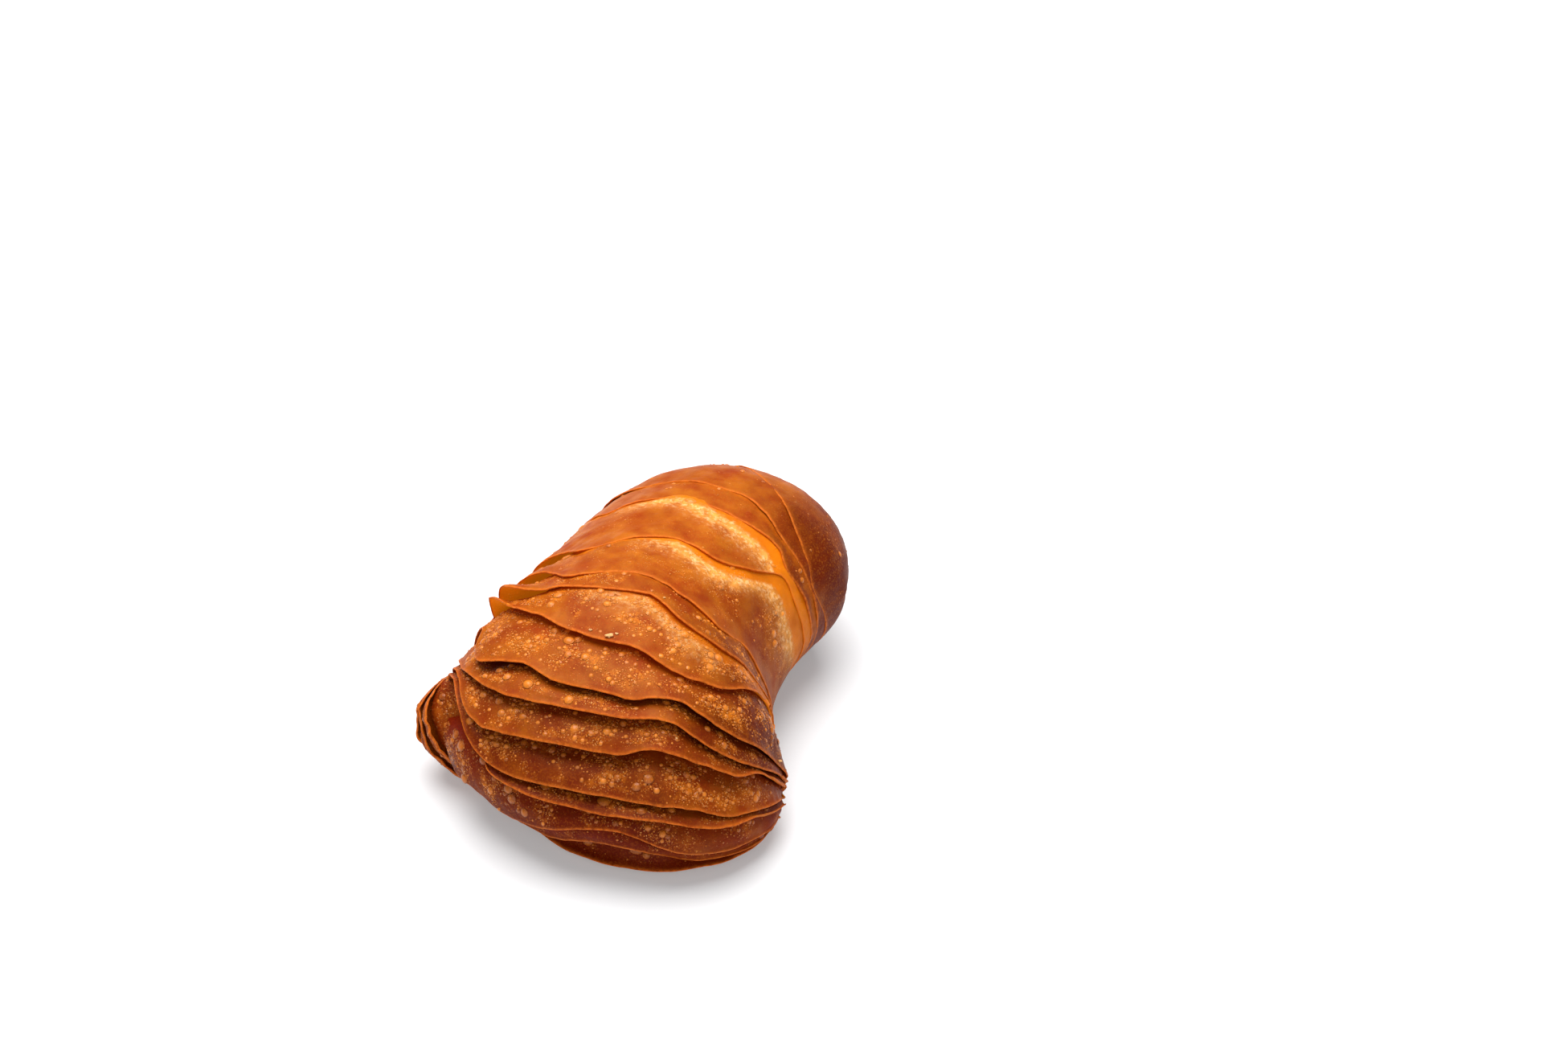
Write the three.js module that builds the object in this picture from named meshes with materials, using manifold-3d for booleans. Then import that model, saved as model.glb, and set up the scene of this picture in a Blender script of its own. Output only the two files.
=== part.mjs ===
// Lobster tail pastry: a baked shell of thin laminated dough, one solid piece.
//
// The shell is a stack of overlapping leaves. At the far end (+Y) they lie close together and
// form a round barrel. Towards the near end (-Y) the stack turns over a low axis that runs
// from side to side, so the leaves open like a fan down to the surface that the pastry lies on.
// A second, smaller fan is the folded lobe beside the left end of that axis.
//
// Every point is given by a station s along the crown, an angle v round the section and a
// height ratio rho, which is 1 on the outer envelope. Millimetres, +Z up, origin at the
// bottom centre of the bounding box.
import * as THREE from "three";
import { mergeVertices } from "three/addons/utils/BufferGeometryUtils.js";
import Module from "manifold-3d";

// ---- Driving dimensions of the main shell ------------------------------------------------

// Sections along the crown. Each has the axis point (x, y, z), the tilt of the section plane
// (90 is upright, 0 leans to +Y, 180 lies flat towards -Y), the half width, the height above
// the axis, the turn about Z and the drift of its lower half towards -Y.
const SECTIONS = [
  { s: -122, x: 2.5, y: 60, z: 22, tilt: -40, half: 23, rise: 15.5, turn: -3, drift: 0 },
  { s: -105, x: 2.5, y: 57.5, z: 23, tilt: -8, half: 27.5, rise: 19, turn: -3, drift: 0 },
  { s: -85, x: 2.5, y: 54.5, z: 23, tilt: 34, half: 31.5, rise: 23, turn: -3, drift: 0 },
  { s: -68, x: 1.5, y: 50.5, z: 23, tilt: 68, half: 33, rise: 25.5, turn: -3, drift: 0 },
  { s: -50, x: -1, y: 42, z: 22.5, tilt: 90, half: 34, rise: 28, turn: -3, drift: 0 },
  { s: -33, x: -3.5, y: 27, z: 20.5, tilt: 92, half: 34, rise: 32.5, turn: -2, drift: 0 },
  { s: -15, x: -4, y: 10, z: 17.5, tilt: 94, half: 35, rise: 38, turn: 0, drift: 0 },
  { s: 0, x: -2.5, y: -4, z: 15, tilt: 102, half: 39.5, rise: 42, turn: 3, drift: 0 },
  { s: 15, x: -1.5, y: -11, z: 12, tilt: 118, half: 43.5, rise: 42, turn: 4, drift: 0 },
  { s: 33, x: -1, y: -15, z: 10, tilt: 142, half: 44, rise: 38, turn: 4, drift: 0 },
  { s: 50, x: 2.5, y: -18, z: 8, tilt: 161, half: 41.5, rise: 34, turn: 4, drift: 1 },
  { s: 66, x: 6.5, y: -20.5, z: 5, tilt: 174, half: 36, rise: 25.5, turn: 4, drift: 3 },
  { s: 80, x: 10, y: -22.5, z: 2.5, tilt: 180, half: 30, rise: 21.5, turn: 4, drift: 11 },
];
const FLATTENING = 1.22; // depth of the round underside below the axis, over the axis height
const TUCK = 0.1; // share by which the flanks draw in towards the underside
const BOXINESS = [[-122, 1], [-20, 0.97], [10, 0.85], [50, 0.85], [80, 1]]; // 1 is an ellipse

// Angles at which the rim of each leaf is placed, from the underside over the right flank,
// the crown at 90 and the left flank, back to the underside.
const RIM_ANGLES = [-60, -20, 20, 50, 80, 110, 140, 175, 210, 240];

// Leaves from the far end to the near end: the station of the free rim at those angles, the
// depth of the gap under the rim and how far that gap reaches back below the leaf.
const LEAVES = [
  { rim: [-108, -106, -106, -108, -110, -112, -112, -112, -110, -108], gap: 1.2, reach: 0.5 },
  { rim: [-90, -78, -72, -82, -94, -100, -102, -102, -98, -90], gap: 1.2, reach: 0.5 },
  { rim: [-72, -56, -48, -57, -69, -82, -88, -88, -82, -72], gap: 1.4, reach: 0.8 },
  { rim: [-52, -46, -46, -51, -56, -56, -52, -50, -50, -52], gap: 1.8, reach: 1 },
  { rim: [-42, -42, -42, -45, -46, -41, -36, -34, -38, -42], gap: 2.4, reach: 1.2 },
  { rim: [-32, -37, -38, -32, -26, -20, -15, -16, -24, -32], gap: 3, reach: 1.5 },
  { rim: [-16, -13, -9, -8, -10, -7, -6, -7, -11, -16], gap: 3.4, reach: 1.6, flare: 2 },
  { rim: [-11, -10, -6, -2, -6, -3, -3, -4, -7, -11], gap: 2.6, reach: 1.4, flare: 3 },
  { rim: [-5, -6, -2, 9, 8, 5, 0, 0, -2, -5], gap: 5, reach: 2.2, flare: 3.2 },
  { rim: [8, 13, 17, 18, 17, 14, 12, 9, 8, 8], gap: 7, reach: 2.4 },
  { rim: [14, 18, 23, 22, 22, 22, 17, 12.5, 13, 14], gap: 7, reach: 2.6 },
  { rim: [21, 24, 26, 26, 29, 30, 20, 16, 18, 21], gap: 9, reach: 3 },
  { rim: [33, 36, 40, 40, 40, 40, 27, 21, 27, 33], gap: 9, reach: 3 },
  { rim: [42, 43, 44, 44, 45, 43, 36, 30, 36, 42], gap: 6, reach: 2 },
  { rim: [54, 58, 60, 58, 51, 54, 52, 46, 50, 54], gap: 6, reach: 2 },
  { rim: [63, 65, 67, 67, 58, 62, 62, 58, 60, 63], gap: 7, reach: 2 },
  { rim: [79, 79, 80, 80, 79, 79, 78, 77, 78, 79], gap: 2, reach: 0.6 },
];
const LIP = 1.1; // thickness of a leaf at its free rim
const FLARE = { from: 126, peak: 141, to: 153 }; // angles over which a rim sticks out by its flare
const COLUMNS = 48; // facets round the section
const TOP_SHARE = 0.77; // share of those facets that lies above the underside

// ---- Driving dimensions of the folded lobe at the left -------------------------------------

const LOBE = {
  top: new THREE.Vector3(-40.5, -10, 25.5), // upper end of the lobe's axis
  foot: new THREE.Vector3(-31, -25, 1), // lower end
  out: new THREE.Vector3(-1, 0.25, 0), // where the first leaf of the lobe points
  leaves: [14, 46, 76, 106, 138], // angle of each leaf's rim about the axis
  rise: [12, 16, 17.5, 16, 12], // how far each rim stands off the axis
  gap: 3.2,
  rooting: 9, // how far the lobe reaches into the shell
  columns: 16,
};

const CRUST = new THREE.MeshStandardMaterial({ color: 0xb5611f, roughness: 0.5, metalness: 0 });

// ---- Interpolation ---------------------------------------------------------------------------

const radians = THREE.MathUtils.degToRad;
const blend = THREE.MathUtils.lerp;
const smooth = THREE.MathUtils.smoothstep;

// Monotone cubic curve through the points (xs, ys): the slope at a point is the harmonic mean
// of its neighbours' slopes, and zero where they differ in sign.
function curve(xs, ys, x) {
  const last = xs.length - 1;
  const at = Math.min(Math.max(x, xs[0]), xs[last]);
  const i = Math.min(xs.findIndex((value, k) => k > 0 && at <= value) - 1, last - 1);
  const step = (k) => (ys[k + 1] - ys[k]) / (xs[k + 1] - xs[k]);
  const slope = (k) => {
    if (k === 0) return step(0);
    if (k === last) return step(last - 1);
    const [a, b] = [step(k - 1), step(k)];
    return a * b > 0 ? (2 * a * b) / (a + b) : 0;
  };
  const width = xs[i + 1] - xs[i];
  const t = (at - xs[i]) / width;
  return ys[i] * (1 + 2 * t) * (1 - t) ** 2 + slope(i) * width * t * (1 - t) ** 2 +
    ys[i + 1] * t * t * (3 - 2 * t) - slope(i + 1) * width * t * t * (1 - t);
}

const stations = SECTIONS.map((row) => row.s);
const sectionValue = (name, s) => curve(stations, SECTIONS.map((row) => row[name]), s);
const signedPower = (value, power) => Math.sign(value) * Math.abs(value) ** power;

// ---- Main shell -------------------------------------------------------------------------------

// Point at station s, angle v in degrees and height ratio rho.
function shellPoint(s, v, rho) {
  const [x, y, z, tilt, half, rise, turn, drift] =
    ["x", "y", "z", "tilt", "half", "rise", "turn", "drift"].map((n) => sectionValue(n, s));
  const power = curve(BOXINESS.map((p) => p[0]), BOXINESS.map((p) => p[1]), s);
  const side = new THREE.Vector3(Math.cos(radians(turn)), Math.sin(radians(turn)), 0);
  const ahead = new THREE.Vector3(-side.y, side.x, 0).multiplyScalar(Math.cos(radians(tilt)));
  const up = ahead.setZ(Math.sin(radians(tilt)));
  const across = rho * half * signedPower(Math.cos(radians(v)), power);
  const point = new THREE.Vector3(x, y, z).addScaledVector(side, across);
  const lift = Math.sin(radians(v));
  if (lift >= 0) return point.addScaledVector(up, rho * rise * Math.abs(lift) ** power);
  point.addScaledVector(side, across * TUCK * lift);
  point.y += drift * lift;
  point.z = Math.max(0, z + rho * z * FLATTENING * lift);
  return point;
}

// Station of leaf k's rim at angle v.
function rimStation(k, v) {
  const angle = v > 240 ? v - 360 : v;
  if (angle < -60) return LEAVES[k].rim[0];
  return curve(RIM_ANGLES, LEAVES[k].rim, angle);
}

// One row of the shell per entry: a function of v that gives the station and the ratio.
function shellRows() {
  const rows = [];
  const above = (v) => smooth(Math.sin(radians(v)), -0.45, 0.05); // 0 on the underside
  const depth = (k, v) => above(v) * LEAVES[k].gap * (0.15 + 0.85 * Math.max(0, Math.sin(radians(v))));
  const ratio = (s, mm) => 1 - mm / Math.max(sectionValue("rise", s), 1);
  const flare = (k, v) => (LEAVES[k].flare ?? 0) *
    (v < FLARE.peak ? smooth(v, FLARE.from, FLARE.peak) : 1 - smooth(v, FLARE.peak, FLARE.to));
  LEAVES.forEach((leaf, k) => {
    const from = (v) => (k ? rimStation(k - 1, v) : stations[0]);
    const gap = (v) => (k ? depth(k - 1, v) : 0.3);
    const reach = (v) => (k ? smooth(Math.sin(radians(v)), 0.15, 0.7) * LEAVES[k - 1].reach : 0);
    const along = (v, t) => blend(from(v), rimStation(k, v), t);
    rows.push(
      (v) => { // root, hidden below the leaf before
        const s = blend(along(v, 0.3), from(v) - reach(v), above(v));
        return [s, ratio(s, gap(v))];
      },
      (v) => { // belly of the leaf
        const s = along(v, 0.52);
        return [s, ratio(s, 0.3 * gap(v))];
      },
      (v) => { // outer edge of the rim
        const s = along(v, blend(0.8, 0.97, above(v)));
        return [s, ratio(s, -flare(k, v))];
      },
      (v) => { // inner edge of the rim
        const s = along(v, 1);
        return [s, ratio(s, Math.min(LIP, 0.5 * depth(k, v)) - flare(k, v))];
      },
    );
  });
  return rows;
}

// Angle of column j: most columns lie on the visible side.
function columnAngle(j) {
  const t = j / COLUMNS;
  if (t < TOP_SHARE) return -40 + (260 * t) / TOP_SHARE;
  return 220 + (100 * (t - TOP_SHARE)) / (1 - TOP_SHARE);
}

// Gives each vertex of a unit sphere its place: ring(i, j) for row i and column j.
function placeRings(columns, rows, ring) {
  const geometry = new THREE.SphereGeometry(1, columns, rows);
  const position = geometry.getAttribute("position");
  for (let i = 0; i <= rows; i++)
    for (let j = 0; j <= columns; j++) {
      const point = ring(i, (columns - j) % columns);
      position.setXYZ(i * (columns + 1) + j, point.x, point.y, point.z);
    }
  return geometry;
}

function makeShell() {
  const rows = shellRows();
  const farPole = new THREE.Vector3(2.5, 69.5, 8);
  const nearPole = new THREE.Vector3(10, -40, 0);
  const closing = [0, 0.45, 0.8]; // rings between a pole and the first or last row
  const count = rows.length + 2 * closing.length;
  const rowPoint = (i, j) => {
    const [s, rho] = rows[i](columnAngle(j));
    return shellPoint(s, columnAngle(j), rho);
  };
  return placeRings(COLUMNS, count - 1, (i, j) => {
    if (i < closing.length)
      return farPole.clone().lerp(rowPoint(0, j), closing[i]);
    if (i >= closing.length + rows.length) {
      const point = nearPole.clone().lerp(rowPoint(rows.length - 1, j), closing[count - 1 - i]);
      return point.setZ(0);
    }
    return rowPoint(i - closing.length, j);
  });
}

// ---- Folded lobe --------------------------------------------------------------------------------

// A fan of half-oval leaves about the slanted axis from the foot to the top.
function makeLobe() {
  const axis = LOBE.top.clone().sub(LOBE.foot);
  const middle = LOBE.foot.clone().add(LOBE.top).multiplyScalar(0.5);
  const along = axis.clone().normalize();
  const start = LOBE.out.clone().addScaledVector(along, -LOBE.out.dot(along)).normalize();
  const rows = [];
  LOBE.leaves.forEach((angle, k) => {
    const before = k ? LOBE.leaves[k - 1] : angle - 24;
    rows.push([before + 1, LOBE.rise[k] - LOBE.gap], [blend(before, angle, 0.55), LOBE.rise[k] - 0.6]);
    rows.push([angle, LOBE.rise[k]], [angle + 2, LOBE.rise[k] - 1]);
  });
  const ends = [rows[0], rows[rows.length - 1]];
  const [first, last] = ends.map(([angle]) => angle);
  // Each ring bends at the axis: its outer half is a leaf, its inner half reaches into the shell.
  const ring = ([angle, rise], j) => {
    const v = radians((360 * j) / LOBE.columns);
    const inner = blend(first - 25, last - 335, (angle - first) / (last - first));
    const outside = Math.sin(v) > 0;
    const out = start.clone().applyAxisAngle(along, radians(outside ? angle : inner));
    const off = Math.abs(Math.sin(v)) * (outside ? rise : LOBE.rooting);
    return middle.clone().addScaledVector(axis, 0.56 * Math.cos(v)).addScaledVector(out, off);
  };
  const poleOf = (row) => ring(row, LOBE.columns / 4).lerp(ring(row, (LOBE.columns * 3) / 4), 0.5);
  return placeRings(LOBE.columns, rows.length + 1, (i, j) => {
    const point = i === 0 ? poleOf(ends[0]) : i === rows.length + 1 ? poleOf(ends[1]) : ring(rows[i - 1], j);
    return point.setZ(Math.max(0, point.z));
  });
}

// ---- One solid ------------------------------------------------------------------------------------

const wasm = await Module();
wasm.setup();

function solid(geometry) {
  const bare = geometry.clone();
  bare.deleteAttribute("normal");
  bare.deleteAttribute("uv");
  const merged = mergeVertices(bare, 1e-3);
  return new wasm.Manifold(new wasm.Mesh({
    numProp: 3,
    vertProperties: merged.getAttribute("position").array,
    triVerts: new Uint32Array(merged.index.array),
  }));
}

function geometryOf(manifold) {
  const mesh = manifold.getMesh();
  const geometry = new THREE.BufferGeometry();
  geometry.setAttribute("position", new THREE.BufferAttribute(mesh.vertProperties, 3));
  geometry.setIndex(new THREE.BufferAttribute(mesh.triVerts, 1));
  return geometry;
}

// The largest body of the union: slivers between the lobe and the shell are left out.
const bodies = solid(makeShell()).add(solid(makeLobe())).decompose();
const largest = bodies.reduce((a, b) => (b.volume() > a.volume() ? b : a));
const joined = geometryOf(largest);
joined.computeBoundingBox();
const centre = joined.boundingBox.getCenter(new THREE.Vector3());
joined.translate(-centre.x, -centre.y, -joined.boundingBox.min.z);
joined.computeVertexNormals();

const pastry = new THREE.Mesh(joined, CRUST);
pastry.name = "pastry";

const group = new THREE.Group();
group.name = "lobster_tail_pastry";
group.add(pastry);

export default group;
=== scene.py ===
"""Looks of a baked lobster tail pastry: a stack of thin laminated dough leaves that opens like a fan.

Lengths are millimetres until a mesh is written, +Z is up and the near end of the pastry is -Y.
A point of the shell is given by its station s along the crown, the angle v round the section
(0 is the right flank, 90 the crown, 180 the left flank) and its depth below the outer form.
"""

import logging
import math
from dataclasses import dataclass, field
from enum import Enum

import bpy
import numpy as np
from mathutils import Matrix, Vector

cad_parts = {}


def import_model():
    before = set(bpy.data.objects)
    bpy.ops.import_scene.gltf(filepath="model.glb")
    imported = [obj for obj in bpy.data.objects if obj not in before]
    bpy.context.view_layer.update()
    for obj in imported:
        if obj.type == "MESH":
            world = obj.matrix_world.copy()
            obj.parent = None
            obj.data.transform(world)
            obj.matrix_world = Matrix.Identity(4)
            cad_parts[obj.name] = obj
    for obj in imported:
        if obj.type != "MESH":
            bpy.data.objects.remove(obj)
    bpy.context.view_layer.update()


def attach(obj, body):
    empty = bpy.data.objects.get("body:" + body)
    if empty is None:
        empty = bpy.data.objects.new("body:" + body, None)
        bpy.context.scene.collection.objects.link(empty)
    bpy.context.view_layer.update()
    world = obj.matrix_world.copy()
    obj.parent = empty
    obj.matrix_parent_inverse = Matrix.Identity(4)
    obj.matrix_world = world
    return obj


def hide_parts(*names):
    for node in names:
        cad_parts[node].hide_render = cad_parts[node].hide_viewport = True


LOG = logging.getLogger("pastry")
MM = 0.001
Array = np.ndarray


# ---- Curves, noise and mesh helpers ------------------------------------------------------------


def smooth(x: Array, low: float, high: float) -> Array:
    """Smoothstep: 0 below low, 1 above high, and 3t^2 - 2t^3 between them.

    Args:
        x: values.
        low: value where the step starts.
        high: value where the step ends.

    Returns:
        The step at each value.
    """
    t = np.clip((np.asarray(x, float) - low) / (high - low), 0, 1)
    return t * t * (3 - 2 * t)


def monotone(xs: Array, ys: Array, x: Array) -> Array:
    """Monotone cubic through (xs, ys), held level past both ends.

    The slope at a knot is the harmonic mean of its two secants, and zero where they differ in
    sign; between knots it is the cubic Hermite curve with those slopes.

    Args:
        xs: rising knots.
        ys: values at the knots.
        x: where the curve is wanted.

    Returns:
        The curve at x.
    """
    xs, ys = np.asarray(xs, float), np.asarray(ys, float)
    step = np.diff(ys) / np.diff(xs)
    product, total = step[:-1] * step[1:], step[:-1] + step[1:]
    inner = np.where(product > 0, 2 * product / np.where(total == 0, 1, total), 0)
    slope = np.concatenate([step[:1], inner, step[-1:]])
    at = np.clip(x, xs[0], xs[-1])
    i = np.clip(np.searchsorted(xs, at, side="right") - 1, 0, len(xs) - 2)
    width = xs[i + 1] - xs[i]
    t = (at - xs[i]) / width
    return (
        ys[i] * (1 + 2 * t) * (1 - t) ** 2
        + slope[i] * width * t * (1 - t) ** 2
        + ys[i + 1] * t * t * (3 - 2 * t)
        - slope[i + 1] * width * t * t * (1 - t)
    )


def swell(points: Array, wavelength: float, seed: int, waves: int = 12) -> Array:
    """Smooth random field: the mean of plane sine waves in random directions, about -1 to 1.

    Args:
        points: places, with xyz in the last axis.
        wavelength: typical distance between two crests, in mm.
        seed: seed of the field.
        waves: number of plane waves.

    Returns:
        The field at each place.
    """
    rng = np.random.default_rng(seed)
    way = rng.normal(size=(waves, 3))
    way /= np.linalg.norm(way, axis=1, keepdims=True)
    way *= (2 * np.pi / (wavelength * rng.uniform(0.7, 1.5, waves)))[:, None]
    return np.sin(points @ way.T + rng.uniform(0, 2 * np.pi, waves)).sum(-1) * math.sqrt(2 / waves) * 0.6


def unit(vectors: Array) -> Array:
    """Each vector of the last axis, scaled to length 1."""
    return vectors / np.maximum(np.linalg.norm(vectors, axis=-1, keepdims=True), 1e-9)


@dataclass
class Skin:
    """A mesh in the making: points in mm, faces grouped by their corner count, and point marks."""

    points: Array
    faces: list[Array]
    marks: dict[str, Array] = field(default_factory=dict)

    def outward(self) -> "Skin":
        """Turns every face round if the signed volume of the closed mesh is negative."""
        volume = 0.0
        for group in self.faces:
            for k in range(1, group.shape[1] - 1):
                a, b, c = (self.points[group[:, i]] for i in (0, k, k + 1))
                volume += float((a * np.cross(b, c)).sum())
        if volume < 0:
            self.faces = [group[:, ::-1] for group in self.faces]
        return self

    @staticmethod
    def joined(skins: list["Skin"]) -> "Skin":
        """All skins as one.

        Args:
            skins: the skins to join; they hold the same marks.

        Returns:
            One skin.
        """
        starts = np.cumsum([0] + [len(s.points) for s in skins[:-1]])
        faces = [group + start for s, start in zip(skins, starts) for group in s.faces]
        marks = {name: np.concatenate([s.marks[name] for s in skins]) for name in skins[0].marks}
        return Skin(np.concatenate([s.points for s in skins]), faces, marks)


def ring_faces(rows: int, columns: int, wrap_rows: bool, wrap_columns: bool) -> Array:
    """Quads of a grid whose point (i, j) has the number i * columns + j.

    Args:
        rows: points down the grid.
        columns: points across the grid.
        wrap_rows: whether the last row meets the first.
        wrap_columns: whether the last column meets the first.

    Returns:
        One row of four corners per quad.
    """
    i = np.arange(rows if wrap_rows else rows - 1)[:, None]
    j = np.arange(columns if wrap_columns else columns - 1)[None, :]
    i1, j1 = (i + 1) % rows, (j + 1) % columns
    corners = [i * columns + j, i1 * columns + j, i1 * columns + j1, i * columns + j1]
    return np.stack(np.broadcast_arrays(*corners), -1).reshape(-1, 4)


def make_piece(
    name: str, skin: Skin, material: bpy.types.Material, lining: tuple[bpy.types.Material, slice] | None = None
) -> bpy.types.Object:
    """Writes a skin into a mesh object that rides on the body and stands for the solid.

    Args:
        name: name of the piece.
        skin: its mesh, in mm.
        material: its finish.
        lining: a second finish, and the faces that have it.

    Returns:
        The object.
    """
    mesh = bpy.data.meshes.new(name)
    mesh.vertices.add(len(skin.points))
    mesh.vertices.foreach_set("co", (skin.points * MM).astype(np.float32).ravel())
    sizes = np.concatenate([np.full(len(g), g.shape[1]) for g in skin.faces])
    corners = np.concatenate([g.ravel() for g in skin.faces])
    mesh.loops.add(len(corners))
    mesh.loops.foreach_set("vertex_index", corners.astype(np.int32))
    mesh.polygons.add(len(sizes))
    mesh.polygons.foreach_set("loop_start", (np.cumsum(sizes) - sizes).astype(np.int32))
    mesh.polygons.foreach_set("use_smooth", np.ones(len(sizes), bool))
    for mark, values in skin.marks.items():
        layer = mesh.attributes.new(mark, "FLOAT", "POINT")
        layer.data.foreach_set("value", values.astype(np.float32).ravel())
    mesh.update(calc_edges=True)
    mesh.validate()
    mesh.materials.append(material)
    if lining:
        mesh.materials.append(lining[0])
        number = np.zeros(len(sizes), np.int32)
        number[lining[1]] = 1
        mesh.polygons.foreach_set("material_index", number)
    piece = bpy.data.objects.new(name, mesh)
    bpy.context.scene.collection.objects.link(piece)
    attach(piece, "root")
    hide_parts("pastry")
    LOG.info("%s: %d points, %d faces", name, len(mesh.vertices), len(mesh.polygons))
    return piece


# ---- Form of the shell ---------------------------------------------------------------------------


@dataclass(frozen=True)
class ShellForm:
    """The smooth outer form over which the leaves lie, given by sections along the crown."""

    station: tuple[float, ...] = (-122, -105, -85, -68, -50, -33, -15, 0, 15, 33, 50, 66, 80)
    x: tuple[float, ...] = (1.9, 1.8, 2.0, 1.5, -1, -3.5, -4, -2.5, -1.5, -1, 2.5, 6.5, 10)
    y: tuple[float, ...] = (60, 57.5, 54.5, 50.5, 42, 27, 10, -4, -11, -15, -18, -20.5, -22.5)
    z: tuple[float, ...] = (22, 23, 23, 23, 22.5, 20.5, 17.5, 15, 12, 10, 8, 5, 2.5)
    tilt: tuple[float, ...] = (-40, -8, 34, 68, 90, 92, 94, 102, 118, 142, 161, 174, 180)
    half: tuple[float, ...] = (22.6, 26.9, 31.1, 33, 34, 34, 35, 39.5, 43.5, 44, 41.5, 36, 30)
    rise: tuple[float, ...] = (15.5, 19, 23, 25.5, 28, 32.5, 38, 42, 42, 38, 34, 25.5, 21.5)
    turn: tuple[float, ...] = (-3, -3, -3, -3, -3, -2, 0, 3, 4, 4, 4, 4, 4)
    drift: tuple[float, ...] = (0, 0, 0, 0, 0, 0, 0, 0, 0, 0, 1, 3, 11)
    boxiness: tuple[tuple[float, ...], tuple[float, ...]] = (
        (-122, -20, 10, 50, 80),
        (1, 0.97, 0.85, 0.85, 1),
    )
    flattening: float = 1.22
    tuck: float = 0.1
    heel: float = 7.0
    heel_axis: tuple[float, float, float] = (2.5, 42, 0)
    middle: tuple[float, float, float] = (-3.446, 13.326, 0)
    far_pole: tuple[float, float, float] = (2.5, 69.5, 8)
    near_pole: tuple[float, float, float] = (10, -40, 0)

    def value(self, name: str, s: Array) -> Array:
        """The named section value at stations s."""
        return monotone(self.station, getattr(self, name), s)

    def point(self, s: Array, v: Array, depth: Array) -> Array:
        """Points of the form.

        The upper half of a section is a superellipse about the axis point, in the plane given by
        its tilt. The lower half drops straight down, draws in by the tuck and is cut off flat,
        no lower than its own depth, so that buried layers lie above the resting face. The lower
        half of the far end swells by heel sqrt(1 - (1 + 2 sine)^2), a half oval, on its left and
        by less on its right.

        Args:
            s: stations.
            v: angles in degrees.
            depth: depths below the form in mm.

        Returns:
            Points with xyz in the last axis, about the middle of the part.
        """
        s, v, depth = np.broadcast_arrays(*(np.asarray(q, float) for q in (s, v, depth)))
        x, y, z, tilt, half, rise, turn, drift = (
            self.value(n, s) for n in ("x", "y", "z", "tilt", "half", "rise", "turn", "drift")
        )
        power = monotone(*self.boxiness, s)
        ratio = 1 - depth / np.maximum(rise, 1)
        cosine, sine = np.cos(np.radians(v)), np.sin(np.radians(v))
        turn, tilt = np.radians(turn), np.radians(tilt)
        side = np.stack([np.cos(turn), np.sin(turn), np.zeros_like(s)], -1)
        ahead = np.stack([-np.sin(turn), np.cos(turn), np.zeros_like(s)], -1)
        up = ahead * np.cos(tilt)[..., None] + np.array([0, 0, 1.0]) * np.sin(tilt)[..., None]
        across = ratio * half * np.sign(cosine) * np.abs(cosine) ** power
        lift = np.where(sine > 0, ratio * rise * np.abs(sine) ** power, 0)
        low = np.minimum(sine, 0)
        across = across * (1 + self.tuck * low)
        p = np.stack([x, y, z], -1) + side * across[..., None] + up * lift[..., None]
        p[..., 1] += drift * low
        p[..., 2] += ratio * z * self.flattening * low
        away = p - np.array(self.heel_axis)
        away[..., 2] = 0
        oval = np.sqrt(np.maximum(1 - (1 + 2 * low) ** 2, 0))
        away = unit(away)
        swollen = self.heel * oval * smooth(-s, 58, 100) * np.where(cosine < 0, 1, np.clip(away[..., 1], 0, 1) ** 2)
        p = p + away * swollen[..., None]
        p[..., 2] = np.maximum(p[..., 2], np.where(sine < 0, np.clip(depth, 0, 3), 0))
        return p - np.array(self.middle)


def shell_angles(columns: int, top_share: float = 0.78) -> Array:
    """Angles of the columns, with most of them on the side that shows.

    Args:
        columns: number of columns.
        top_share: share of the columns between -40 and 220 degrees.

    Returns:
        Angles in degrees from -40 to under 320.
    """
    t = np.arange(columns) / columns
    low = 220 + 100 * (t - top_share) / (1 - top_share)
    return np.where(t < top_share, -40 + 260 * t / top_share, low)


# ---- Leaves ----------------------------------------------------------------------------------------


@dataclass(frozen=True)
class Leaf:
    """One leaf of dough: its free rim, the gap below the rim, and how it is baked.

    The rim holds stations at the angles in ANGLES. Lengths are in mm. Reach is how far the next
    leaf runs back under the rim, flare how far the rim stands off over the angles in hump, dent
    how far the left shoulder sinks, and lift a deeper gap there. Toast, pale and glow run from 0
    to about 1. Toast is partly the browning of the bake and partly painted shade, larger on the
    leaves of the near end that face away from the light. Glow is painted light that comes through
    the thin dough; lining is the least of it on the inner face, and cup the power by which a
    leaf rises out of its gap. Blisters is the number tried, big how many of them are large.
    """

    name: str
    rim: tuple[float, ...]
    gap: float
    reach: float
    flare: float = 0.0
    hump: tuple[float, float, float] = (114, 136, 151)
    pointed: bool = False
    dent: float = 0.0
    ruffle: float = 0.3
    toast: float = 0.3
    pale: float = 0.0
    pale_span: tuple[float, float] = (10, 110)
    glow: float = 0.0
    lining: float = 0.4
    cup: float = 1.7
    lift: float = 0.0
    blisters: int = 0
    big: int = 6
    largest: float = 1.6


ANGLES = (-60, -20, 0, 20, 35, 50, 65, 80, 95, 110, 118, 125, 132, 140, 150, 160, 175, 210, 240)

# Toast grows towards the near end: partly the browning of the bake and partly painted shade on the leaves that face
# away from the light.
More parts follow.
